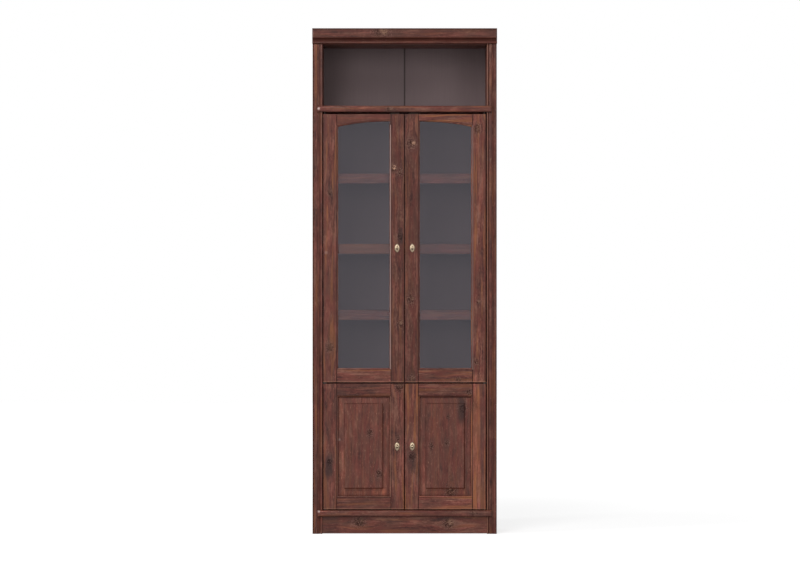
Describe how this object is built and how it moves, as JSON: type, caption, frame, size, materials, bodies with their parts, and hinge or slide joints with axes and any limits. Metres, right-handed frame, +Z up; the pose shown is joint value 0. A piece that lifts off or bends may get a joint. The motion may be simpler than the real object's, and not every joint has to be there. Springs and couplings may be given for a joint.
{
  "type": "bookcase with glass doors",
  "caption": "Tall pine bookcase with an open compartment on top, arched glazed doors over shelves and panelled doors at the foot.",
  "frame": {"origin": "on the floor, in the middle of the box around the closed bookcase", "axes": "+X to the right seen from the front, +Y to the wall behind, +Z up"},
  "size_m": [0.804, 0.31, 2.2],
  "materials": {
    "stained_pine": "dark red-brown stain under a semi-matt lacquer, knots showing",
    "back_board": "thin board, dark grey-brown, matt",
    "glass": "clear float glass",
    "brass": "pale antique brass, satin",
    "steel": "zinc plated",
    "bush_plastic": "brown moulded bushes",
    "catch_plastic": "brown moulded housing",
    "strip_plastic": "dark brown extruded strip"
  },
  "bodies": {
    "root": {"end_panel_left": "stained_pine", "end_panel_right": "stained_pine", "side_panel_left": "stained_pine", "side_panel_right": "stained_pine", "top_panel": "stained_pine", "cornice": "stained_pine", "counter_board": "stained_pine", "counter_nosing": "stained_pine", "middle_board": "stained_pine", "bottom_board": "stained_pine", "base_nosing": "stained_pine", "plinth_board": "stained_pine", "back_panel_left": "back_board", "back_panel_right": "back_board", "back_joint_strip": "strip_plastic", "upper_shelf_1": "stained_pine", "upper_shelf_2": "stained_pine", "upper_shelf_3": "stained_pine", "lower_shelf": "stained_pine", "shelf_lips": "stained_pine", "shelf_pins": "steel", "board_pivot_pins": "steel", "middle_pivots": "steel", "magnetic_catches": "catch_plastic", "wall_brackets": "steel", "case_screws": "steel"},
    "upper_left_door": {"upper_left_outer_stile": "stained_pine", "upper_left_inner_stile": "stained_pine", "upper_left_arched_rail": "stained_pine", "upper_left_bottom_rail": "stained_pine", "upper_left_glass": "glass", "upper_left_glazing_beads": "stained_pine", "upper_left_pivot_bushes": "bush_plastic", "upper_left_strike_plate": "steel", "upper_left_knob": "brass"},
    "upper_right_door": {"upper_right_outer_stile": "stained_pine", "upper_right_inner_stile": "stained_pine", "upper_right_arched_rail": "stained_pine", "upper_right_bottom_rail": "stained_pine", "upper_right_glass": "glass", "upper_right_glazing_beads": "stained_pine", "upper_right_pivot_bushes": "bush_plastic", "upper_right_strike_plate": "steel", "upper_right_knob": "brass"},
    "lower_left_door": {"lower_left_outer_stile": "stained_pine", "lower_left_inner_stile": "stained_pine", "lower_left_top_rail": "stained_pine", "lower_left_bottom_rail": "stained_pine", "lower_left_panel": "stained_pine", "lower_left_pivot_bushes": "bush_plastic", "lower_left_strike_plate": "steel", "lower_left_knob": "brass"},
    "lower_right_door": {"lower_right_outer_stile": "stained_pine", "lower_right_inner_stile": "stained_pine", "lower_right_top_rail": "stained_pine", "lower_right_bottom_rail": "stained_pine", "lower_right_panel": "stained_pine", "lower_right_pivot_bushes": "bush_plastic", "lower_right_strike_plate": "steel", "lower_right_knob": "brass"}
  },
  "joints": [
    {"name": "upper_left_door_hinge", "type": "hinge", "parent": "root", "child": "upper_left_door", "pos_m": [-0.347, -0.1265, 1.244], "axis": [0, 0, -1], "range_deg": [0, 105]},
    {"name": "upper_right_door_hinge", "type": "hinge", "parent": "root", "child": "upper_right_door", "pos_m": [0.347, -0.1265, 1.244], "axis": [0, 0, 1], "range_deg": [0, 105]},
    {"name": "lower_left_door_hinge", "type": "hinge", "parent": "root", "child": "lower_left_door", "pos_m": [-0.347, -0.1265, 0.38], "axis": [0, 0, -1], "range_deg": [0, 105]},
    {"name": "lower_right_door_hinge", "type": "hinge", "parent": "root", "child": "lower_right_door", "pos_m": [0.347, -0.1265, 0.38], "axis": [0, 0, 1], "range_deg": [0, 105]}
  ]
}
